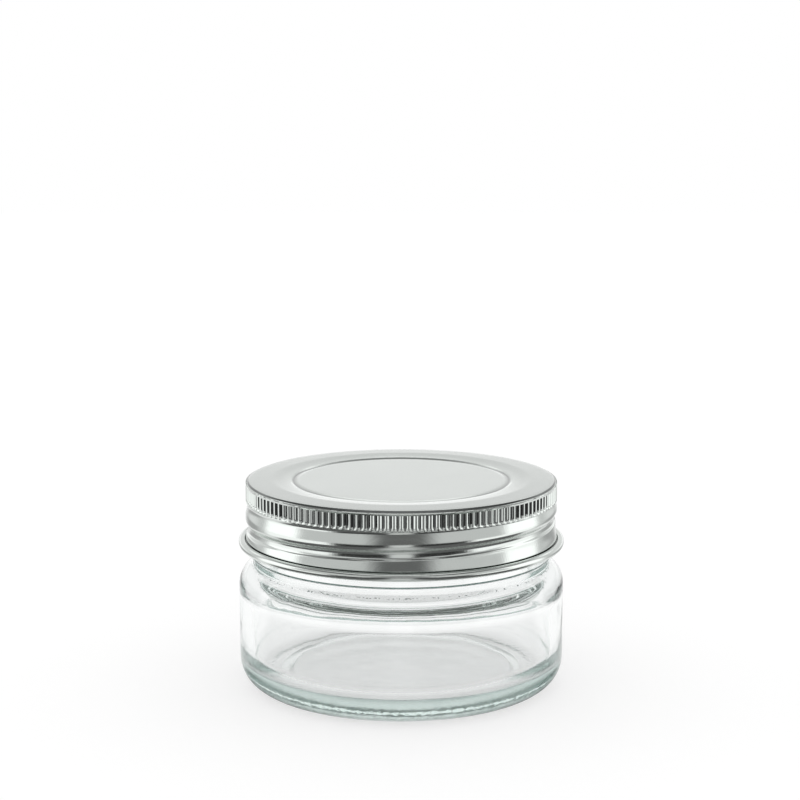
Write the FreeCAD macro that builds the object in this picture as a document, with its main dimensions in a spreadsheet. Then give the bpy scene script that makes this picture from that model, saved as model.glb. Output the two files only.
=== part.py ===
import FreeCAD, Part
import math
import os
import Sketcher

# A low, wide-mouthed glass jar closed by a one-piece metal screw cap.
# Millimetres. The origin is the centre of the base, +Z is up, and Z is the axis of symmetry.
# Three pieces: the jar, the cap that sits on it, and the sealing ring between cap and rim.

SIZES = {
    # jar, outside
    "rim_height": 47.35,        # from the table to the top of the glass
    "body_radius": 37.6,
    "heel_round": 6.8,
    "bearing_width": 2.8,       # flat ring that the jar stands on
    "punt_slope": 2.6,          # width of the slope from that ring to the raised centre
    "punt_rise": 0.5,           # height of the raised centre under the base
    "punt_round": 0.9,
    # jar, shoulder and finish, heights measured down from the rim
    "shoulder_drop": 20.35,
    "shoulder_round": 5.2,
    "neck_drop": 18.65,
    "neck_round": 0.7,
    "finish_inset": 2.85,       # from the body's radius in to the crest of the bead
    "neck_inset": 0.55,         # from the bead in to the neck below it
    "finish_relief": 1.2,       # from the bead in to the wall that carries the thread
    "bead_drop": 16.85,
    "bead_height": 2.4,
    "bead_slope": 0.7,
    "bead_round": 0.5,
    "rim_round": 1.1,
    # jar, inside
    "body_wall": 3.0,
    "finish_wall": 4.35,        # from the bead's crest in to the bore
    "floor_height": 4.5,
    "floor_round": 5.0,
    "bore_drop": 21.7,
    "bore_round": 2.5,
    "inner_shoulder_drop": 24.3,
    "inner_shoulder_round": 4.0,
    # cap, heights measured down from its top
    "sheet": 0.25,              # thickness of the metal
    "cap_height": 15.3,
    "skirt_clearance": 0.4,     # between the bead of the glass and the inside of the skirt
    "panel_inset": 10.2,        # from the skirt in to the edge of the sunk panel
    "panel_drop": 0.4,
    "panel_slope": 1.2,
    "panel_round": 0.8,
    "cap_round": 1.3,
    "knurl_count": 140,
    "knurl_standout": 0.5,      # of the knurl's crests from the skirt
    "knurl_base_drop": 4.7,
    "flute_top_drop": 0.7,
    "flute_base_drop": 4.5,
    "flute_width": 1.2,
    "flute_depth": 0.36,
    "waist_drop": 5.5,
    "waist_round": 0.5,
    "bulge_standout": 0.6,
    "bulge_top_drop": 6.4,
    "bulge_base_drop": 8.1,
    "bulge_foot_drop": 9.2,
    "bulge_round": 0.9,
    "curl_standout": 2.25,
    "curl_height": 1.75,
    "curl_round": 0.8,
    "curl_gap": 0.12,           # between the skirt and the raw edge of the curl
    # sealing ring
    "gasket_thickness": 0.5,
    "gasket_inward": 0.9,       # past the bore
    "gasket_outward": 0.6,      # past the outside of the finish
    "gasket_round": 0.2,
}

doc = FreeCAD.newDocument("Canister")
sheet = doc.addObject("Spreadsheet::Sheet", "Sizes")
for row, (alias, number) in enumerate(SIZES.items(), start=1):
    sheet.set(f"A{row}", alias)
    sheet.set(f"B{row}", f"{number:g}")
    sheet.setAlias(f"B{row}", alias)
doc.recompute()


class Length:
    """A number together with the expression that ties it to the sheet."""

    def __init__(self, value, text):
        self.value = value
        self.text = text

    def __add__(self, other):
        return Length(self.value + other.value, f"({self.text} + {other.text})")

    def __sub__(self, other):
        return Length(self.value - other.value, f"({self.text} - {other.text})")

    def __mul__(self, factor):
        return Length(self.value * factor, f"({self.text} * {factor:g})")

    def __truediv__(self, other):
        return Length(self.value / other.value, f"({self.text} / {other.text})")

    def squared(self):
        return Length(self.value ** 2, f"({self.text} ^ 2)")


def size(alias):
    return Length(float(sheet.get(alias)), f"Sizes.{alias}")


ZERO = Length(0.0, "0")
SHARP = ZERO


def origin_plane(body, role):
    return next(item for item in body.Origin.OriginFeatures if item.Role == role)


def origin_sketch(body, name):
    """A sketch on the upright XZ plane: its own x is the radius and its own y is the height."""
    sketch = body.newObject("Sketcher::SketchObject", name)
    sketch.AttachmentSupport = [(origin_plane(body, "XZ_Plane"), "")]
    sketch.MapMode = "FlatFace"
    return sketch


def bind(sketch, kind, *terms):
    """Add one constraint whose last term is a Length, and tie it to the sheet."""
    *places, length = terms
    index = sketch.addConstraint(Sketcher.Constraint(kind, *places, length.value))
    sketch.setExpression(f"Constraints[{index}]", length.text)


def place(sketch, geometry, end, across, up):
    """Fix one point by its distances from the sketch's axes."""
    origin, vertical_axis, horizontal_axis = (-1, 1), -2, -1
    if across is ZERO:
        sketch.addConstraint(Sketcher.Constraint("PointOnObject", geometry, end, vertical_axis))
    else:
        bind(sketch, "DistanceX", *origin, geometry, end, across)
    if up is ZERO:
        sketch.addConstraint(Sketcher.Constraint("PointOnObject", geometry, end, horizontal_axis))
    else:
        bind(sketch, "DistanceY", *origin, geometry, end, up)


def rounding(before, corner, after, radius):
    """The arc that rounds a corner, and whether it runs the same way as the outline does."""
    back = (before - corner).normalize()
    ahead = (after - corner).normalize()
    half_angle = back.getAngle(ahead) / 2
    inward = (back + ahead).normalize()
    centre = corner + inward * (radius / math.sin(half_angle))
    first = corner + back * (radius / math.tan(half_angle)) - centre
    last = corner + ahead * (radius / math.tan(half_angle)) - centre
    forward = first.cross(last).z > 0
    if not forward:
        first, last = last, first
    start = math.atan2(first.y, first.x)
    sweep = first.getAngle(last)
    circle = Part.Circle(centre, FreeCAD.Vector(0, 0, 1), radius)
    return Part.ArcOfCircle(circle, start, start + sweep), forward


def outline(sketch, corners):
    """Draw a closed outline through corners of (across, up, rounding)."""
    points = [FreeCAD.Vector(across.value, up.value, 0) for across, up, _ in corners]
    count = len(corners)
    starts = list(points)
    ends = points[1:] + points[:1]
    arcs = {}
    for i, (across, up, radius) in enumerate(corners):
        if radius is SHARP:
            continue
        arc, forward = rounding(points[i - 1], points[i], points[(i + 1) % count], radius.value)
        arcs[i] = (arc, forward)
        ends[i - 1] = arc.StartPoint if forward else arc.EndPoint
        starts[i] = arc.EndPoint if forward else arc.StartPoint
    lines = [sketch.addGeometry(Part.LineSegment(starts[i], ends[i])) for i in range(count)]
    for i, (across, up, radius) in enumerate(corners):
        line_in, line_out = lines[i - 1], lines[i]
        if i not in arcs:
            sketch.addConstraint(Sketcher.Constraint("Coincident", line_in, 2, line_out, 1))
            place(sketch, line_out, 1, across, up)
            continue
        arc, forward = arcs[i]
        bend = sketch.addGeometry(arc)
        first, last = (1, 2) if forward else (2, 1)
        apex = sketch.addGeometry(Part.Point(points[i]), True)
        sketch.addConstraint(Sketcher.Constraint("Tangent", line_in, 2, bend, first))
        sketch.addConstraint(Sketcher.Constraint("Tangent", bend, last, line_out, 1))
        sketch.addConstraint(Sketcher.Constraint("PointOnObject", apex, 1, line_in))
        sketch.addConstraint(Sketcher.Constraint("PointOnObject", apex, 1, line_out))
        place(sketch, apex, 1, across, up)
        bind(sketch, "Radius", bend, radius)
    return lines


def lathe(body, name, corners):
    """Turn a closed outline round the Z axis and add it to the body."""
    sketch = origin_sketch(body, f"{name}Outline")
    outline(sketch, corners)
    feature = body.newObject("PartDesign::Revolution", name)
    feature.Profile = sketch
    feature.ReferenceAxis = (sketch, ["V_Axis"])
    feature.Angle = 360
    return feature


# Sizes that several pieces share

rim = size("rim_height")
bead_radius = size("body_radius") - size("finish_inset")
finish_radius = bead_radius - size("finish_relief")
bore_radius = bead_radius - size("finish_wall")
metal = size("sheet")
cap_top = rim + size("gasket_thickness") + metal
skirt_radius = bead_radius + size("skirt_clearance") + metal


def make_jar():
    """The glass: thick base with a shallow punt, straight wall, round shoulder, neck and finish."""
    body = doc.addObject("PartDesign::Body", "jar")
    body_radius = size("body_radius")
    bearing_inner = body_radius - size("heel_round") - size("bearing_width")
    neck_radius = bead_radius - size("neck_inset")
    bead_base = rim - size("bead_drop")
    bead_top = bead_base + size("bead_height")
    inner_radius = body_radius - size("body_wall")
    lathe(body, "Glass", [
        (ZERO, size("punt_rise"), SHARP),
        (bearing_inner - size("punt_slope"), size("punt_rise"), size("punt_round")),
        (bearing_inner, ZERO, size("punt_round")),
        (body_radius, ZERO, size("heel_round")),
        (body_radius, rim - size("shoulder_drop"), size("shoulder_round")),
        (neck_radius, rim - size("neck_drop"), size("neck_round")),
        (neck_radius, bead_base, SHARP),
        (bead_radius, bead_base, SHARP),
        (bead_radius, bead_top, size("bead_round")),
        (finish_radius, bead_top + size("bead_slope"), size("bead_round")),
        (finish_radius, rim, size("rim_round")),
        (bore_radius, rim, size("rim_round")),
        (bore_radius, rim - size("bore_drop"), size("bore_round")),
        (inner_radius, rim - size("inner_shoulder_drop"), size("inner_shoulder_round")),
        (inner_radius, size("floor_height"), size("floor_round")),
        (ZERO, size("floor_height"), SHARP),
    ])
    return body


def flute(body, name, axis_radius, lowest, highest, turned):
    """Cut one upright flute, round in section and tapered at both ends, into the band of the cap."""
    width, depth = size("flute_width"), size("flute_depth")
    radius = ((width * 0.5).squared() + depth.squared()) / (depth * 2)
    clear = radius - depth
    centre = axis_radius(clear)
    foot, head = lowest - clear, highest + clear
    sketch = origin_sketch(body, f"{name}Outline")
    sketch.AttachmentOffset = FreeCAD.Placement(
        FreeCAD.Vector(0, 0, 0), FreeCAD.Rotation(FreeCAD.Vector(0, 1, 0), turned.value))
    sketch.setExpression("AttachmentOffset.Rotation.Angle", turned.text)
    lines = outline(sketch, [
        (centre, foot, SHARP),
        (centre + radius, lowest + depth, SHARP),
        (centre + radius, highest - depth, SHARP),
        (centre, head, SHARP),
    ])
    ends = (FreeCAD.Vector(centre.value, up.value, 0) for up in (foot, head))
    spindle = sketch.addGeometry(Part.LineSegment(*ends), True)
    sketch.addConstraint(Sketcher.Constraint("Coincident", spindle, 1, lines[0], 1))
    sketch.addConstraint(Sketcher.Constraint("Coincident", spindle, 2, lines[-1], 1))
    feature = body.newObject("PartDesign::Groove", name)
    feature.Profile = sketch
    feature.ReferenceAxis = (sketch, ["Axis0"])
    feature.Angle = 360
    return feature


def make_cap():
    """The metal cap: sunk panel, knurled band, bulge, skirt and a curl rolled outwards."""
    body = doc.addObject("PartDesign::Body", "lid")
    panel_radius = skirt_radius - size("panel_inset")
    panel_top = cap_top - size("panel_drop")
    knurl_radius = skirt_radius + size("knurl_standout")
    band_inner = knurl_radius - size("flute_depth") - metal
    knurl_base = cap_top - size("knurl_base_drop")
    lathe(body, "Top", [
        (ZERO, panel_top, SHARP),
        (panel_radius, panel_top, size("panel_round")),
        (panel_radius + size("panel_slope"), cap_top, size("panel_round")),
        (knurl_radius, cap_top, size("cap_round")),
        (knurl_radius, knurl_base, SHARP),
        (band_inner, knurl_base, SHARP),
        (band_inner, cap_top - metal, size("cap_round") - metal - size("flute_depth")),
        (panel_radius + size("panel_slope"), cap_top - metal, size("panel_round")),
        (panel_radius, panel_top - metal, size("panel_round")),
        (ZERO, panel_top - metal, SHARP),
    ])

    waist_height = cap_top - size("waist_drop")
    bulge_radius = skirt_radius + size("bulge_standout")
    bulge_top = cap_top - size("bulge_top_drop")
    bulge_base = cap_top - size("bulge_base_drop")
    bulge_foot = cap_top - size("bulge_foot_drop")
    curl_radius = skirt_radius + size("curl_standout")
    curl_base = cap_top - size("cap_height")
    curl_top = curl_base + size("curl_height")
    curl_edge = skirt_radius + size("curl_gap")
    curl_round = size("curl_round")
    lathe(body, "Skirt", [
        (knurl_radius, knurl_base, SHARP),
        (skirt_radius, waist_height, size("waist_round")),
        (bulge_radius, bulge_top, size("bulge_round")),
        (bulge_radius, bulge_base, size("bulge_round")),
        (skirt_radius, bulge_foot, size("bulge_round")),
        (skirt_radius, curl_base + metal, curl_round - metal),
        (curl_radius - metal, curl_base + metal, curl_round - metal),
        (curl_radius - metal, curl_top - metal, curl_round - metal),
        (curl_edge, curl_top - metal, SHARP),
        (curl_edge, curl_top, SHARP),
        (curl_radius, curl_top, curl_round),
        (curl_radius, curl_base, curl_round),
        (skirt_radius - metal, curl_base, curl_round),
        (skirt_radius - metal, bulge_foot, size("bulge_round")),
        (bulge_radius - metal, bulge_base, size("bulge_round")),
        (bulge_radius - metal, bulge_top, size("bulge_round")),
        (skirt_radius - metal, waist_height, size("waist_round")),
        (band_inner, knurl_base, SHARP),
    ])

    flute_top = cap_top - size("flute_top_drop")
    flute_base = cap_top - size("flute_base_drop")
    half_pitch = Length(180.0, "180") / size("knurl_count")
    outer = flute(body, "OuterFlute", lambda reach: knurl_radius + reach,
                  flute_base, flute_top, ZERO)
    doc.recompute()
    inner = flute(body, "InnerFlute", lambda reach: band_inner - reach,
                  flute_base, flute_top - size("cap_round"), half_pitch)
    doc.recompute()
    ring = body.newObject("PartDesign::PolarPattern", "Knurl")
    ring.Originals = [outer, inner]
    ring.Axis = (next(item for item in body.Origin.OriginFeatures if item.Role == "Z_Axis"), [""])
    ring.Angle = 360
    ring.setExpression("Occurrences", "Sizes.knurl_count")
    body.Tip = ring
    return body


def make_gasket():
    """The flat sealing ring on the underside of the cap, pressed on the rim of the glass."""
    body = doc.addObject("PartDesign::Body", "gasket")
    inner = bore_radius - size("gasket_inward")
    outer = finish_radius + size("gasket_outward")
    top = cap_top - metal
    lathe(body, "Ring", [
        (inner, rim, size("gasket_round")),
        (outer, rim, size("gasket_round")),
        (outer, top, SHARP),
        (inner, top, SHARP),
    ])
    return body


pieces = [make_jar(), make_cap(), make_gasket()]
doc.recompute()

for item in doc.Objects:
    if "Invalid" in item.State or "Error" in item.State:
        raise RuntimeError(f"{item.Name} did not build: {item.State}")
for piece in pieces:
    if piece.Shape.isNull() or not piece.Shape.isValid():
        raise RuntimeError(f"{piece.Label} has no valid shape")

os.makedirs("parts", exist_ok=True)
for piece in pieces:
    piece.Shape.exportStep(f"parts/{piece.Label}.step")
    print(piece.Label, f"{piece.Shape.Volume / 1000:.2f} cm3", f"{len(piece.Shape.Faces)} faces")
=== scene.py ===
import math

import bpy
import numpy as np
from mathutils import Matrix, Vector, noise


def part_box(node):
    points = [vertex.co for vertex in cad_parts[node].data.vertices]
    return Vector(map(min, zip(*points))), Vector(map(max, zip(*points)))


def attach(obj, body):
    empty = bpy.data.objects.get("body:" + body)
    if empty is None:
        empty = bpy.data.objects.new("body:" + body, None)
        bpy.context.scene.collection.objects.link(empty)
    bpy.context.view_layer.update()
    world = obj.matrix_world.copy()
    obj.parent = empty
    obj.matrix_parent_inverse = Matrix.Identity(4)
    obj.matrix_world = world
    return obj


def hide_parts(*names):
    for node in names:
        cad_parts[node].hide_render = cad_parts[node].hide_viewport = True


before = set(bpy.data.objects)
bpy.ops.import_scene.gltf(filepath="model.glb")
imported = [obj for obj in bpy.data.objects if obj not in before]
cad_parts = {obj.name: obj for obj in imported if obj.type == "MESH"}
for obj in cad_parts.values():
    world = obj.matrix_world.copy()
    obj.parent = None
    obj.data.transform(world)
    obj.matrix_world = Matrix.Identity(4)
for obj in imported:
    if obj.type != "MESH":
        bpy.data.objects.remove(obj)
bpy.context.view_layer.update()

# Lengths below are millimetres; meshes and shader nodes take them in metres, times MM. Angles run
# round the jar from the front (-Y) towards +X. Every size starts from the boxes of the CAD nodes.

MM = 0.001
DEGREES = 180 / math.pi
JAR_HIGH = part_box("jar")[1] / MM
LID_LOW, LID_HIGH = (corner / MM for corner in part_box("lid"))
SEAL_LOW, SEAL_HIGH = (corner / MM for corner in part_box("gasket"))

# ---------------------------------------------------------------- sizes of the glass

BODY_RADIUS = JAR_HIGH.x
RIM = JAR_HIGH.z
INNER_RADIUS = BODY_RADIUS - 3.0
FLOOR = 4.5
PUNT_RISE = 0.5
BEARING_INNER = BODY_RADIUS - 9.6
SHOULDER = RIM - 20.35
NECK_BASE = RIM - 18.65
BEAD_BASE = RIM - 16.85
BEAD_TOP = BEAD_BASE + 2.4
BEAD_RADIUS = BODY_RADIUS - 2.85
NECK_RADIUS = BEAD_RADIUS - 0.55
FINISH_RADIUS = BEAD_RADIUS - 1.2
BORE_RADIUS = BEAD_RADIUS - 4.35
BORE_BASE = RIM - 21.55
INNER_SHOULDER = RIM - 24.2

GLASS_COLUMNS = 256
GLASS_STEP = 0.3
GLASS_SPAN = 0.65

THREAD_LEAD = 5.4
THREAD_CREST = 1.1
THREAD_HALF_WIDTH = 1.5
THREAD_FOOT = RIM - 9.6
THREAD_REACH = 3.6  # radians each way from the front
THREAD_RUN_OUT = 0.5  # radians at each end

LONG_WAVE, LONG_WAVE_HEIGHT = 14.0, 0.10
SHORT_WAVE, SHORT_WAVE_HEIGHT = 5.0, 0.025
FLOOR_WAVE_SHARE = 0.6
WALL_DRIFT = 0.12

# ---------------------------------------------------------------- sizes of the cap

CAP_TOP = LID_HIGH.z
CURL_RADIUS = LID_HIGH.x
CURL_BASE = LID_LOW.z
CURL_TOP = CURL_BASE + 1.75
SHEET = 0.25
SKIRT_RADIUS = CURL_RADIUS - 2.25
PANEL_RADIUS = SKIRT_RADIUS - 10.2
PANEL_TOP = CAP_TOP - 0.4
CREVICE = 0.7
CREVICE_DEPTH = 0.8

FLUTES = 140
FLUTE_POINTS = 12
FLUTE_TOP = CAP_TOP - 0.5
FLUTE_DEPTH = 0.5
FLUTE_ROUNDNESS = 0.9
FLUTE_SCATTER_TOP, FLUTE_SCATTER_FOOT, FLUTE_SCATTER_DEPTH = 0.2, 0.35, 0.25
KNURL_RADIUS = SKIRT_RADIUS + 0.5
KNURL_BASE = CAP_TOP - 4.7

BULGE = 0.6
WAIST = CAP_TOP - 5.2
WAIST_WANDER = 0.7
WAIST_DEPTH = 0.45
ROLLED_MIDDLE = CAP_TOP - 10.1
ROLLED_LEAD = 5.2
ROLLED_RUN_OUT = 0.7  # radians before the back, on each side
FLANK_DEPTH = 0.78
LOWER_RISE = 0.42
PLAIN_DEPTH = 0.36
FOOT_FLARE = 0.4

CAP_COLUMNS = 280
TOP_STEP, TOP_SPAN = 0.2, 1.2
KNURL_STEP = 0.28
SKIRT_STEP = 0.22
CURL_STEP = 0.18
UNDER_STEP, UNDER_SPAN = 0.4, 1.8
SEAL_STEP = 0.4


# ---------------------------------------------------------------- mesh tools

def smooth(value):
    """0 below 0, 1 above 1, and a smooth step between."""
    value = np.clip(value, 0.0, 1.0)
    return value * value * (3 - 2 * value)


def hump(value):
    """A rounded hump: 1 at 0, and 0 from -1 and below and from 1 and above."""
    return smooth(1 - np.abs(value))


def rounded(corners, step, span=None):
    """Points along an outline of (radius, height, rounding) corners: `step` apart on the curves,
    `span` on the straights."""
    points = []
    last = len(corners) - 1
    for i, (radius, height, rounding) in enumerate(corners):
        here = np.array([radius, height], float)
        if rounding == 0 or i in (0, last):
            points.append(here)
            continue
        back = np.array(corners[i - 1][:2], float) - here
        ahead = np.array(corners[i + 1][:2], float) - here
        back /= np.linalg.norm(back)
        ahead /= np.linalg.norm(ahead)
        half = math.acos(np.clip(back @ ahead, -1, 1)) / 2
        middle = back + ahead
        centre = here + middle / np.linalg.norm(middle) * rounding / math.sin(half)
        first = here + back * rounding / math.tan(half) - centre
        final = here + ahead * rounding / math.tan(half) - centre
        start = math.atan2(first[1], first[0])
        sweep = math.atan2(final[1], final[0]) - start
        sweep = (sweep + math.pi) % (2 * math.pi) - math.pi
        count = max(3, math.ceil(abs(sweep) * rounding / step))
        for k in range(count + 1):
            angle = start + sweep * k / count
            points.append(centre + rounding * np.array([math.cos(angle), math.sin(angle)]))
    filled = [points[0]]
    for point in points[1:]:
        gap = np.linalg.norm(point - filled[-1])
        if gap < step * 0.05:
            continue
        count = max(1, math.ceil(gap / (span or step)))
        start = filled[-1]
        filled += [start + (point - start) * k / count for k in range(1, count + 1)]
    return np.array(filled)


def ring(radius, height, columns):
    """One ring of points round the axis."""
    angle = np.arange(columns) * (2 * math.pi / columns)
    radius = np.broadcast_to(radius, angle.shape)
    height = np.broadcast_to(height, angle.shape)
    return np.stack([radius * np.sin(angle), -radius * np.cos(angle), height], axis=1)


def pole(height):
    """A ring of a single point, on the axis."""
    return np.array([[0.0, 0.0, height]])


def angles(columns):
    """Angles of a ring's points, from -pi to pi with 0 at the front."""
    angle = np.arange(columns) * (2 * math.pi / columns)
    return (angle + math.pi) % (2 * math.pi) - math.pi


def skin(rings, closed=False):
    """Points and faces of neighbouring rings. Two rings have as many points as each other, or one
    is a pole, or one has a whole number of times the points of the other."""
    starts = np.cumsum([0] + [len(r) for r in rings])
    pairs = [(i, i + 1) for i in range(len(rings) - 1)]
    if closed:
        pairs.append((len(rings) - 1, 0))
    faces = []
    for low, high in pairs:
        n, m = len(rings[low]), len(rings[high])
        a, b = starts[low], starts[high]
        if n == m:
            j = np.arange(n)
            k = (j + 1) % n
            faces += np.stack([a + j, a + k, b + k, b + j], axis=1).tolist()
        elif n == 1:
            faces += [(a, b + (j + 1) % m, b + j) for j in range(m)]
        elif m == 1:
            faces += [(a + j, a + (j + 1) % n, b) for j in range(n)]
        elif m > n:
            faces += stitch(a, n, b, m, False)
        else:
            faces += stitch(b, m, a, n, True)
    return np.concatenate(rings), faces


def stitch(coarse, n, fine, m, flipped):
    """Triangles between a coarse ring and a fine one that has a whole number of times its points."""
    ratio = m // n
    middle = ratio // 2
    faces = []
    for j in range(n):
        here, there = coarse + j, coarse + (j + 1) % n
        points = [fine + (j * ratio + k) % m for k in range(ratio + 1)]
        faces += [(here, points[k + 1], points[k]) for k in range(middle)]
        faces.append((here, there, points[middle]))
        faces += [(there, points[k + 1], points[k]) for k in range(middle, ratio)]
    return [face[::-1] for face in faces] if flipped else faces


def make_piece(name, rings, material, node, closed=False):
    """A smooth mesh from rings in millimetres, which rides on the jar and stands for a CAD node."""
    points, faces = skin(rings, closed)
    mesh = bpy.data.meshes.new(name)
    mesh.from_pydata((points * MM).tolist(), [], faces)
    mesh.validate()
    mesh.shade_smooth()
    mesh.materials.append(material)
    piece = bpy.data.objects.new(name, mesh)
    bpy.context.scene.collection.objects.link(piece)
    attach(piece, "root")
    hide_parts(node)
    return piece


def field(points, scale, seed):
    """Smooth noise, about -1 to 1, at points in millimetres."""
    offset = Vector((seed * 17.3, seed * 5.1, seed * 9.7))
    return np.array([noise.noise(Vector(p) / scale + offset) for p in points])


# ---------------------------------------------------------------- node tools

def add_node(tree, kind, inputs=None, **settings):
    """A new node, with its inputs linked to a socket or set to a value."""
    node = tree.nodes.new(kind)
    for name, value in settings.items():
        setattr(node, name, value)
    for name, value in (inputs or {}).items():
        if isinstance(value, bpy.types.NodeSocket):
            tree.links.new(value, node.inputs[name])
        else:
            node.inputs[name].default_value = value
    return node


def calc(tree, operation, first, second=0.0):
    """The result of a Math node."""
    return add_node(tree, "ShaderNodeMath", {0: first, 1: second}, operation=operation).outputs[0]


def product(tree, *values):
    """All the values multiplied together."""
    result = values[0]
    for value in values[1:]:
        result = calc(tree, "MULTIPLY", result, value)
    return result


def step_between(tree, value, low, high):
    """0 at low, 1 at high, smooth between. It falls where low is the greater."""
    node = add_node(tree, "ShaderNodeMapRange", {"Value": value, "From Min": low, "From Max": high},
                    interpolation_type="SMOOTHSTEP")
    return node.outputs["Result"]


def step_mm(tree, value, low, high):
    """The same step for a length, between two lengths in millimetres."""
    return step_between(tree, value, low * MM, high * MM)


def mix_value(tree, amount, first, second):
    """Second where amount is 1, first where it is 0."""
    inputs = {"Factor": amount, 2: first, 3: second}
    return add_node(tree, "ShaderNodeMix", inputs, data_type="FLOAT").outputs[0]


def mix_colour(tree, amount, first, second):
    """Second where amount is 1, first where it is 0, for colours."""
    inputs = {"Factor": amount, 6: first, 7: second}
    return add_node(tree, "ShaderNodeMix", inputs, data_type="RGBA").outputs[2]


def speckle(tree, place, scale, detail):
    """Noise from 0 to 1, with so many grains to the metre."""
    inputs = {"Vector": place, "Scale": scale, "Detail": detail}
    return add_node(tree, "ShaderNodeTexNoise", inputs).outputs["Fac"]


def spread(tree, value, low, high, to_low, to_high):
    """A value between low and high brought to between to_low and to_high."""
    inputs = {"Value": value, "From Min": low, "From Max": high, "To Min": to_low, "To Max": to_high}
    return add_node(tree, "ShaderNodeMapRange", inputs).outputs["Result"]


def two_tones(tree, value, dark, light):
    """A colour between two, by a value from 0 to 1."""
    ramp = add_node(tree, "ShaderNodeValToRGB", {"Fac": value})
    ramp.color_ramp.elements[0].color = dark
    ramp.color_ramp.elements[1].color = light
    return ramp.outputs["Color"]


def add_bump(tree, shader, height, strength, distance):
    """Relief on a shader's normal."""
    inputs = {"Height": height, "Strength": strength, "Distance": distance}
    bump = add_node(tree, "ShaderNodeBump", inputs)
    tree.links.new(bump.outputs["Normal"], shader.inputs["Normal"])


def find_place(tree):
    """A point's own coordinates, its height above the base and its distance from the axis."""
    place = add_node(tree, "ShaderNodeTexCoord").outputs["Object"]
    axes = add_node(tree, "ShaderNodeSeparateXYZ", {"Vector": place}).outputs
    flat = add_node(tree, "ShaderNodeCombineXYZ", {"X": axes["X"], "Y": axes["Y"]}).outputs[0]
    reach = add_node(tree, "ShaderNodeVectorMath", {0: flat}, operation="LENGTH").outputs["Value"]
    return place, axes["Z"], reach


def new_material(name):
    """A material with one Principled shader, its tree and its output."""
    material = bpy.data.materials.new(name)
    material.use_nodes = True
    tree = material.node_tree
    tree.nodes.clear()
    output = add_node(tree, "ShaderNodeOutputMaterial")
    shader = add_node(tree, "ShaderNodeBsdfPrincipled")
    tree.links.new(shader.outputs["BSDF"], output.inputs["Surface"])
    return material, tree, shader, output


# ---------------------------------------------------------------- materials

CLEAR = (1.0, 1.0, 1.0, 1.0)
# colour of the painted shade lines on the glass below the bead
PAINTED_LINE_COLOUR = (0.02, 0.04, 0.035, 1.0)
GLASS_TINT = (0.28, 0.68, 0.58, 1.0)
GLASS_TINT_DENSITY = 4.5
GLASS_HAZE = 0.03
PAINTED_LINE_EDGE = 0.05
FOOT_FADE = (1.3, 0.3)
FOOT_ROUGHNESS = 0.22
HEEL_FADE = (6.0, 2.5)
STIPPLE_HEIGHT = 8.0

TIN_DARK = (0.64, 0.675, 0.65, 1.0)
TIN_LIGHT = (0.71, 0.745, 0.72, 1.0)
# colour of the painted shade and painted reflection lines on the cap, and of the border's darkening
PAINTED_SHADE_COLOUR = (0.05, 0.055, 0.055, 1.0)
FLUTE_PAINTED_SHADE = 0.8
CREVICE_PAINTED_SHADE = 0.95
BORDER_DARKENING = 0.14
CORNER_PAINTED_REFLECTION = 0.85
TIN_ROUGHNESS = (0.10, 0.18)
KNURL_ROUGHNESS = 0.05
BORDER_PITS = 1.5

SEAL_DARK = (0.70, 0.70, 0.67, 1.0)
SEAL_LIGHT = (0.80, 0.80, 0.77, 1.0)


def glass_material():
    """Clear soda-lime glass, tinted only by its depth: a moulded skin with a faint ripple, two painted
    shade lines below the bead where the glass shows dark lines by refraction, a stippled heel and a worn
    bearing ring."""
    material, tree, shader, output = new_material("clear_glass")
    place, height, reach = find_place(tree)
    shader.inputs["Transmission Weight"].default_value = 1.0
    shader.inputs["IOR"].default_value = 1.52

    def line(low, high):
        rise = step_mm(tree, height, low - PAINTED_LINE_EDGE, low + PAINTED_LINE_EDGE)
        fall = step_mm(tree, height, high - PAINTED_LINE_EDGE, high + PAINTED_LINE_EDGE)
        return calc(tree, "SUBTRACT", rise, fall)

    # painted shade: a whole dark line at the foot of the bead and a broken one at the foot of the neck,
    # standing in for the dark lines the glass shows there by refraction
    broken = step_between(tree, speckle(tree, place, scale=1800.0, detail=1.0), 0.54, 0.66)
    painted_whole_line = line(BEAD_BASE + 0.15, BEAD_BASE + 0.50)
    painted_broken_line = product(tree, line(NECK_BASE - 0.35, NECK_BASE - 0.15), broken)
    outside = step_mm(tree, reach, NECK_RADIUS - 0.6, NECK_RADIUS - 0.3)
    painted_lines = product(tree, calc(tree, "ADD", painted_whole_line, painted_broken_line), outside)
    tree.links.new(mix_colour(tree, painted_lines, CLEAR, PAINTED_LINE_COLOUR), shader.inputs["Base Color"])

    haze = spread(tree, speckle(tree, place, scale=900.0, detail=3.0), 0.55, 0.8, 0.0, GLASS_HAZE)
    worn = mix_value(tree, step_mm(tree, height, *FOOT_FADE), haze, FOOT_ROUGHNESS)
    tree.links.new(worn, shader.inputs["Roughness"])

    beyond_ring = step_mm(tree, reach, BEARING_INNER + 1.0, BEARING_INNER + 3.0)
    at_heel = product(tree, step_mm(tree, height, *HEEL_FADE), beyond_ring)
    stipple = product(tree, speckle(tree, place, scale=800.0, detail=2.0), at_heel, STIPPLE_HEIGHT)
    ripple = speckle(tree, place, scale=160.0, detail=2.0)
    relief = calc(tree, "ADD", ripple, stipple)
    add_bump(tree, shader, relief, strength=0.05, distance=0.4 * MM)

    depth = add_node(tree, "ShaderNodeVolumeAbsorption",
                     {"Color": GLASS_TINT, "Density": GLASS_TINT_DENSITY})
    tree.links.new(depth.outputs["Volume"], output.inputs["Volume"])
    return material


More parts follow.
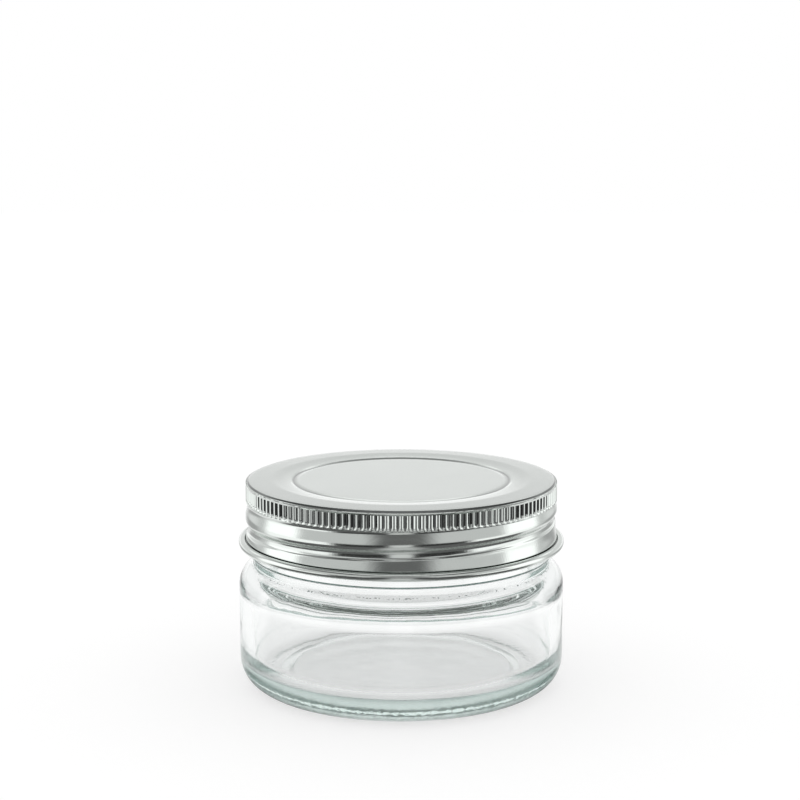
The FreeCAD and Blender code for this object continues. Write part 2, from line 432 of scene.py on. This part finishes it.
def tinplate_material():
    """Bright rolled tinplate: a fine straight grain, faint clouds of tone and a pitted border a little
    darker; painted shade in the flutes and in the crevice of the curl, and a painted dark reflection
    along the corner of the top."""
    material, tree, shader, _ = new_material("tinplate")
    place, height, reach = find_place(tree)
    shader.inputs["Metallic"].default_value = 1.0
    stretched = add_node(tree, "ShaderNodeMapping", {"Vector": place, "Scale": (6.0, 900.0, 60.0)})
    grain = speckle(tree, stretched.outputs["Vector"], scale=6.0, detail=4.0)

    knurled = calc(tree, "SUBTRACT", step_mm(tree, height, KNURL_BASE - 0.4, KNURL_BASE),
                   step_mm(tree, height, CAP_TOP - 0.7, CAP_TOP - 0.4))
    flute_floor = KNURL_RADIUS - FLUTE_DEPTH
    hollow = step_mm(tree, reach, flute_floor + FLUTE_DEPTH * 0.55, flute_floor + FLUTE_DEPTH * 0.15)
    # painted shade in the crevice between skirt and curl, standing in for the dark the curl reflects
    # there
    crevice_wall = SKIRT_RADIUS + CREVICE
    in_crevice = product(tree, step_mm(tree, reach, crevice_wall + 0.15, crevice_wall),
                         step_mm(tree, height, CURL_TOP - 0.05, CURL_TOP - 0.25))
    # the pitted border round the panel is made a little darker
    border = product(tree, step_mm(tree, reach, PANEL_RADIUS + 0.5, PANEL_RADIUS + 3.0),
                     step_mm(tree, height, CAP_TOP - 0.5, CAP_TOP - 0.3))
    # painted reflection: a dark line round the corner of the top, where the rounding mirrors the dark
    # roof
    near_top = calc(tree, "SUBTRACT", step_mm(tree, height, CAP_TOP - 0.55, CAP_TOP - 0.4),
                    step_mm(tree, height, CAP_TOP - 0.2, CAP_TOP - 0.12))
    corner = product(tree, near_top, step_mm(tree, reach, KNURL_RADIUS - 1.0, KNURL_RADIUS - 0.8))
    # painted shade in the hollows of the flutes, standing in for the dark they reflect
    painted_shade_and_border_tone = product(tree, hollow, knurled, FLUTE_PAINTED_SHADE)
    for where, amount in ((in_crevice, CREVICE_PAINTED_SHADE), (border, BORDER_DARKENING), (corner, CORNER_PAINTED_REFLECTION)):
        painted_shade_and_border_tone = calc(tree, "MAXIMUM", painted_shade_and_border_tone, product(tree, where, amount))
    clouds = two_tones(tree, speckle(tree, place, scale=70.0, detail=3.0), TIN_DARK, TIN_LIGHT)
    # the painted shade, the painted reflection and the border's darkening go into the base colour
    tree.links.new(mix_colour(tree, painted_shade_and_border_tone, clouds, PAINTED_SHADE_COLOUR), shader.inputs["Base Color"])

    rolled = spread(tree, grain, 0.2, 0.8, *TIN_ROUGHNESS)
    tree.links.new(mix_value(tree, knurled, rolled, KNURL_ROUGHNESS), shader.inputs["Roughness"])

    pits = product(tree, speckle(tree, place, scale=700.0, detail=2.0), border, BORDER_PITS)
    relief = calc(tree, "ADD", grain, pits)
    add_bump(tree, shader, relief, strength=0.06, distance=0.2 * MM)
    return material


def seal_material():
    """Pale sealing compound, matt, with a faint mottle."""
    material, tree, shader, _ = new_material("sealing_compound")
    place = add_node(tree, "ShaderNodeTexCoord").outputs["Object"]
    mottle = two_tones(tree, speckle(tree, place, scale=400.0, detail=3.0), SEAL_DARK, SEAL_LIGHT)
    tree.links.new(mottle, shader.inputs["Base Color"])
    shader.inputs["Roughness"].default_value = 0.55
    return material


# ---------------------------------------------------------------- the glass jar

def jar_outline():
    """The section of the glass as (radius, height, rounding) corners, from the middle of its
    underside round to the middle of its floor."""
    return [
        (0, PUNT_RISE, 0),
        (BEARING_INNER - 2.6, PUNT_RISE, 0.9),
        (BEARING_INNER, 0, 0.9),
        (BODY_RADIUS, 0, 6.8),
        (BODY_RADIUS, SHOULDER, 5.2),
        (NECK_RADIUS, NECK_BASE, 0.7),
        (NECK_RADIUS, BEAD_BASE, 0.15),
        (BEAD_RADIUS, BEAD_BASE, 0.2),
        (BEAD_RADIUS, BEAD_TOP, 0.5),
        (FINISH_RADIUS, BEAD_TOP + 0.7, 0.5),
        (FINISH_RADIUS, RIM, 1.1),
        (BORE_RADIUS, RIM, 1.1),
        (BORE_RADIUS, BORE_BASE, 2.2),
        (INNER_RADIUS, INNER_SHOULDER, 4.3),
        (INNER_RADIUS, FLOOR + 1.4, 4.6),
        (INNER_RADIUS - 7, FLOOR + 0.2, 25),
        (0, FLOOR, 0),
    ]


def thread_ridge(height, angle):
    """How far the glass thread stands out: a right-handed ridge of just over one turn."""
    stand = np.zeros_like(angle)
    for turn in (-1, 0, 1):
        wound = angle + 2 * math.pi * turn
        starts = smooth((wound + THREAD_REACH) / THREAD_RUN_OUT)
        ends = smooth((THREAD_REACH - wound) / THREAD_RUN_OUT)
        centre = THREAD_FOOT + THREAD_LEAD * wound / (2 * math.pi)
        ridge = hump((height - centre) / THREAD_HALF_WIDTH)
        stand = np.maximum(stand, THREAD_CREST * starts * ends * ridge)
    return stand


def make_jar(material):
    """The glass, turned from its section, with its thread and an uneven inner skin."""
    outline = rounded(jar_outline(), GLASS_STEP, GLASS_SPAN)
    top = int(np.argmax(outline[:, 1]))
    angle = angles(GLASS_COLUMNS)
    rings = []
    for i, (radius, height) in enumerate(outline):
        if radius < 1e-6:
            rings.append(pole(height))
            continue
        reach = np.full(GLASS_COLUMNS, radius)
        level = np.full(GLASS_COLUMNS, height)
        inside = i > top
        if not inside and height > BEAD_TOP:
            reach = reach + thread_ridge(level, angle)
        if inside and height < RIM - 3:
            # the inner skin is blown, not pressed, so it is a little uneven
            points = ring(radius, height, GLASS_COLUMNS)
            waves = LONG_WAVE_HEIGHT * field(points, LONG_WAVE, 1)
            waves = waves + SHORT_WAVE_HEIGHT * field(points, SHORT_WAVE, 2)
            on_wall = smooth((height - FLOOR) / 6.0)
            reach = reach + (waves + WALL_DRIFT * np.cos(angle - 1.2)) * on_wall
            level = level + waves * (1 - on_wall) * FLOOR_WAVE_SHARE
        rings.append(ring(reach, level, GLASS_COLUMNS))
    return make_piece("glass_jar", rings, material, "jar")


# ---------------------------------------------------------------- the metal cap

def flute_depth(height, angle):
    """How deep the knurl is cut at a height, each flute a little different from the next."""
    number = np.floor((angle + math.pi) / (2 * math.pi) * FLUTES + 0.5) % FLUTES
    # a fixed scramble of the flute's number, from -0.5 to 0.5
    scatter = np.sin(number * 12.9898) * 43758.5453
    scatter = scatter - np.floor(scatter) - 0.5
    top = smooth((FLUTE_TOP + FLUTE_SCATTER_TOP * scatter - height) / 0.5)
    foot = smooth((height - KNURL_BASE - 0.1 - FLUTE_SCATTER_FOOT * scatter) / 0.6)
    wave = 0.5 - 0.5 * np.cos(angle * FLUTES)
    cut = 1 - (1 - wave) ** FLUTE_ROUNDNESS
    return FLUTE_DEPTH * (1 + FLUTE_SCATTER_DEPTH * scatter) * top * foot * cut


def skirt_radius(height, angle):
    """Outside radius of the skirt between the knurl and the curl. Below the bulge it holds the
    rolled thread, one right-handed turn that fades out at the back."""
    helix = ROLLED_MIDDLE + ROLLED_LEAD * angle / (2 * math.pi)
    rise = height - helix
    thread = smooth((math.pi - np.abs(angle)) / ROLLED_RUN_OUT)
    waist = WAIST + WAIST_WANDER * np.sin(angle)
    dent = WAIST_DEPTH * smooth((waist + 1.3 - height) / 1.1) * smooth((height - waist + 2.4) / 2.6)
    flank = FLANK_DEPTH * smooth((2.3 - rise) / 2.0)
    lower = LOWER_RISE * smooth((0.1 * np.sin(angle) - 0.55 - rise) / 0.35)
    plain = PLAIN_DEPTH * smooth((CAP_TOP - 10.0 - height) / 2.0)
    flare = FOOT_FLARE * thread * smooth((CAP_TOP - 10.4 - height) / 3.6)
    return SKIRT_RADIUS + BULGE - dent - thread * (flank - lower) - (1 - thread) * plain + flare


def make_cap(material):
    """The cap as one closed sheet: over the top, down the skirt, round the curl and back inside."""
    top = rounded([
        (0, PANEL_TOP, 0),
        (PANEL_RADIUS - 1.6, PANEL_TOP, 2.0),
        (PANEL_RADIUS - 0.3, PANEL_TOP - 0.22, 0.6),
        (PANEL_RADIUS + 0.5, PANEL_TOP + 0.06, 1.0),
        (PANEL_RADIUS + 4.5, CAP_TOP, 12),
        (KNURL_RADIUS, CAP_TOP - 0.12, 1.0),
        (KNURL_RADIUS, FLUTE_TOP, 0),
    ], TOP_STEP, TOP_SPAN)
    curl = rounded([
        (SKIRT_RADIUS + 0.02, CURL_TOP - 0.1, 0),
        (SKIRT_RADIUS + 0.02, CURL_TOP - CREVICE_DEPTH, 0),
        (SKIRT_RADIUS + CREVICE, CURL_TOP - CREVICE_DEPTH, 0),
        (SKIRT_RADIUS + CREVICE, CURL_TOP, 0.4),
        (CURL_RADIUS, CURL_TOP, 0.8),
        (CURL_RADIUS, CURL_BASE, 0.85),
        (SKIRT_RADIUS - SHEET, CURL_BASE, 0.8),
        (SKIRT_RADIUS - SHEET, CURL_TOP, 0),
    ], CURL_STEP)
    inner_wall = KNURL_RADIUS - FLUTE_DEPTH - SHEET
    under = rounded([
        (inner_wall, KNURL_BASE + 0.3, 0),
        (inner_wall, CAP_TOP - SHEET, 0.8),
        (PANEL_RADIUS + 1.2, CAP_TOP - SHEET - 0.02, 1.2),
        (PANEL_RADIUS, PANEL_TOP - SHEET, 1.6),
        (0, PANEL_TOP - SHEET, 0),
    ], UNDER_STEP, UNDER_SPAN)

    def plain_rings(outline):
        return [ring(radius, height, CAP_COLUMNS) for radius, height in outline]

    def skirt_rings(heights, thickness):
        angle = angles(CAP_COLUMNS)
        return [ring(skirt_radius(height, angle) - thickness, height, CAP_COLUMNS) for height in heights]

    fine_columns = FLUTES * FLUTE_POINTS
    fine = angles(fine_columns)
    knurl_heights = np.arange(FLUTE_TOP, KNURL_BASE, -KNURL_STEP)[1:]
    skirt_heights = np.arange(KNURL_BASE, CURL_TOP - 0.1, -SKIRT_STEP)
    rings = [pole(PANEL_TOP)]
    rings += plain_rings(top[1:])
    rings += [ring(KNURL_RADIUS - flute_depth(height, fine), height, fine_columns)
              for height in knurl_heights]
    rings += skirt_rings(skirt_heights, 0.0)
    rings += plain_rings(curl[1:])
    rings += skirt_rings(skirt_heights[::-2], SHEET)
    rings += plain_rings(under[:-1])
    rings.append(pole(PANEL_TOP - SHEET))
    # the outline runs from the top down, so turning its rings round makes the faces look outwards
    return make_piece("metal_cap", rings[::-1], material, "lid")


# ---------------------------------------------------------------- the sealing ring

def make_seal(material):
    """The flat ring between the cap and the rim."""
    inner, outer = BORE_RADIUS - 0.9, FINISH_RADIUS + 0.6
    low, high = SEAL_LOW.z, SEAL_HIGH.z - 0.01
    outline = rounded([
        (inner + 1, low, 0),
        (outer, low, 0.2),
        (outer, high, 0.05),
        (inner, high, 0.05),
        (inner, low, 0.2),
        (inner + 1, low, 0),
    ], SEAL_STEP)
    rings = [ring(radius, height, CAP_COLUMNS) for radius, height in outline[:-1]]
    return make_piece("seal_ring", rings, material, "gasket", closed=True)


# ---------------------------------------------------------------- stage, light and camera

PAPER_TONE = 0.36
PAPER_GLOW = 0.66
PAPER_EDGES = (-900.0, 900.0, -112.0, 1500.0)
PAPER_LEVEL = -0.03
CAMERA_PLACE = (-0.0003, -0.455, 0.142)
CAMERA_TILT = 9.46
CAMERA_LENS = 90.4


def make_world():
    """A light tent: white at the back, bright at the sides, dim in front and above, with a bright
    patch straight overhead. Its level goes by the direction in the world: `turn` is the angle from
    the front round to the back, alike on both sides, and `lift` the angle above the horizon, both
    in degrees. Light through the glass, light on matt surfaces and the background have levels of
    their own, all at or near white."""
    world = bpy.data.worlds.new("tent")
    bpy.context.scene.world = world
    world.use_nodes = True
    tree = world.node_tree
    tree.nodes.clear()
    direction = add_node(tree, "ShaderNodeTexCoord").outputs["Generated"]
    axes = add_node(tree, "ShaderNodeSeparateXYZ", {"Vector": direction}).outputs
    sideways = calc(tree, "ABSOLUTE", axes["X"])
    forward = product(tree, axes["Y"], -1.0)
    turn = product(tree, calc(tree, "ARCTAN2", sideways, forward), DEGREES)
    lift = product(tree, calc(tree, "ARCSINE", axes["Z"]), DEGREES)
    rays = add_node(tree, "ShaderNodeLightPath").outputs

    def past(value, low, high):
        return step_between(tree, value, low, high)

    def outside(where):
        return calc(tree, "SUBTRACT", 1.0, where)

    def between(value, low, high, edge):
        rise = past(value, low - edge, low + edge)
        return calc(tree, "SUBTRACT", rise, past(value, high - edge, high + edge))

    front_panel = product(tree, outside(past(turn, 25, 40)), between(lift, 22, 46, 4))
    behind = past(turn, 125, 150)
    overhead = past(lift, 33, 42)
    roof = calc(tree, "SUBTRACT", overhead, product(tree, front_panel, overhead))
    roof_level = mix_value(tree, past(turn, 60, 90), 0.10, 0.32)
    low_down = past(lift, -5, -9)
    low_front_level = mix_value(tree, past(turn, 6, 11), 0.8, 0.04)
    low_front_level = mix_value(tree, past(turn, 46, 58), low_front_level, 1.3)

    level = mix_value(tree, past(turn, 12, 30), 0.16, 0.70)
    for where, there in (
        (front_panel, 0.65),
        (between(turn, 80, 116, 4), 1.5),  # the side panels
        (past(turn, 122, 135), 0.88),  # the back wall, and three bands of it
        (product(tree, behind, between(lift, -1, 7, 3)), 1.25),
        (product(tree, behind, past(lift, 14, 22)), 0.78),
        (product(tree, behind, between(lift, 25, 31, 2)), 1.4),
        (roof, roof_level),
        (past(lift, 58, 70), 0.8),  # the patch overhead
        (product(tree, behind, past(lift, -3, -8)), 0.9),
        (product(tree, low_down, outside(past(turn, 110, 122))), low_front_level),
        (product(tree, low_down, between(turn, 128, 158, 6)), 0.45),
        (rays["Is Transmission Ray"], 0.95),
        (rays["Is Diffuse Ray"], 1.0),
        (rays["Is Camera Ray"], 1.0),
    ):
        level = mix_value(tree, where, level, there)
    background = add_node(tree, "ShaderNodeBackground", {"Color": CLEAR, "Strength": level})
    output = add_node(tree, "ShaderNodeOutputWorld")
    tree.links.new(background.outputs["Background"], output.inputs["Surface"])


def make_floor():
    """A sheet of white paper that keeps the shadow: its tone and its glow together look white where
    nothing shades it. Metal and glass see a glow painted on it instead: bright behind the jar, a painted
    shadow in front with a painted caustic streak of light down the middle, and farther out the tent."""
    left, right, front, rear = PAPER_EDGES
    corners = np.array([(left, front), (right, front), (right, rear), (left, rear)])
    points = [(x, y, PAPER_LEVEL * MM) for x, y in corners * MM]
    mesh = bpy.data.meshes.new("floor")
    mesh.from_pydata(points, [], [(0, 1, 2, 3)])
    floor = bpy.data.objects.new("floor", mesh)
    bpy.context.scene.collection.objects.link(floor)
    material = bpy.data.materials.new("paper")
    material.use_nodes = True
    tree = material.node_tree
    tree.nodes.clear()
    rays = add_node(tree, "ShaderNodeLightPath").outputs
    paper = add_node(tree, "ShaderNodeBsdfDiffuse", {"Color": (PAPER_TONE, PAPER_TONE, PAPER_TONE, 1.0)})
    seen = calc(tree, "MAXIMUM", rays["Is Camera Ray"], rays["Is Transmission Ray"])
    glow = add_node(tree, "ShaderNodeEmission", {"Strength": product(tree, seen, PAPER_GLOW)})
    both = add_node(tree, "ShaderNodeAddShader", {0: paper.outputs[0], 1: glow.outputs[0]})

    place = add_node(tree, "ShaderNodeTexCoord").outputs["Object"]
    sides = add_node(tree, "ShaderNodeSeparateXYZ", {"Vector": place}).outputs
    away = add_node(tree, "ShaderNodeVectorMath", {0: place}, operation="LENGTH").outputs["Value"]
    # painted light and shade seen only in reflections: a dim painted shadow in front of the jar with a
    # bright painted caustic streak down the middle, bright behind
    painted_caustic_streak = step_mm(tree, calc(tree, "ABSOLUTE", sides["X"]), 22, 4)
    front_painted_shadow = mix_value(tree, painted_caustic_streak, 0.14, 0.6)
    strength = mix_value(tree, step_mm(tree, sides["Y"], -10, 10), front_painted_shadow, 0.95)
    painted_glow_in_reflections = add_node(tree, "ShaderNodeEmission", {"Strength": strength})
    beyond = add_node(tree, "ShaderNodeBsdfTransparent")
    fading = add_node(tree, "ShaderNodeMixShader",
                      {0: step_mm(tree, away, 100, 130), 1: painted_glow_in_reflections.outputs[0], 2: beyond.outputs[0]})

    only_glossy = calc(tree, "SUBTRACT", rays["Is Glossy Ray"], rays["Is Transmission Ray"])
    mixed = add_node(tree, "ShaderNodeMixShader", {0: calc(tree, "MAXIMUM", only_glossy, 0.0),
                                                   1: both.outputs[0], 2: fading.outputs[0]})
    output = add_node(tree, "ShaderNodeOutputMaterial")
    tree.links.new(mixed.outputs[0], output.inputs["Surface"])
    mesh.materials.append(material)


def make_camera():
    """The photograph's view: from the front, a little above, with a long lens."""
    data = bpy.data.cameras.new("camera")
    data.sensor_width = 36.0
    data.lens = CAMERA_LENS
    data.clip_start = 0.01
    camera = bpy.data.objects.new("camera", data)
    camera.location = CAMERA_PLACE
    camera.rotation_euler = (math.radians(90 - CAMERA_TILT), 0, 0)
    bpy.context.scene.collection.objects.link(camera)
    bpy.context.scene.camera = camera


make_jar(glass_material())
make_cap(tinplate_material())
make_seal(seal_material())
make_world()
make_floor()
make_camera()
bpy.context.scene.view_settings.view_transform = "Standard"
# light takes many turns inside the glass before it leaves
light_paths = bpy.context.scene.cycles
light_paths.max_bounces = 32
light_paths.glossy_bounces = 24
light_paths.transmission_bounces = 32
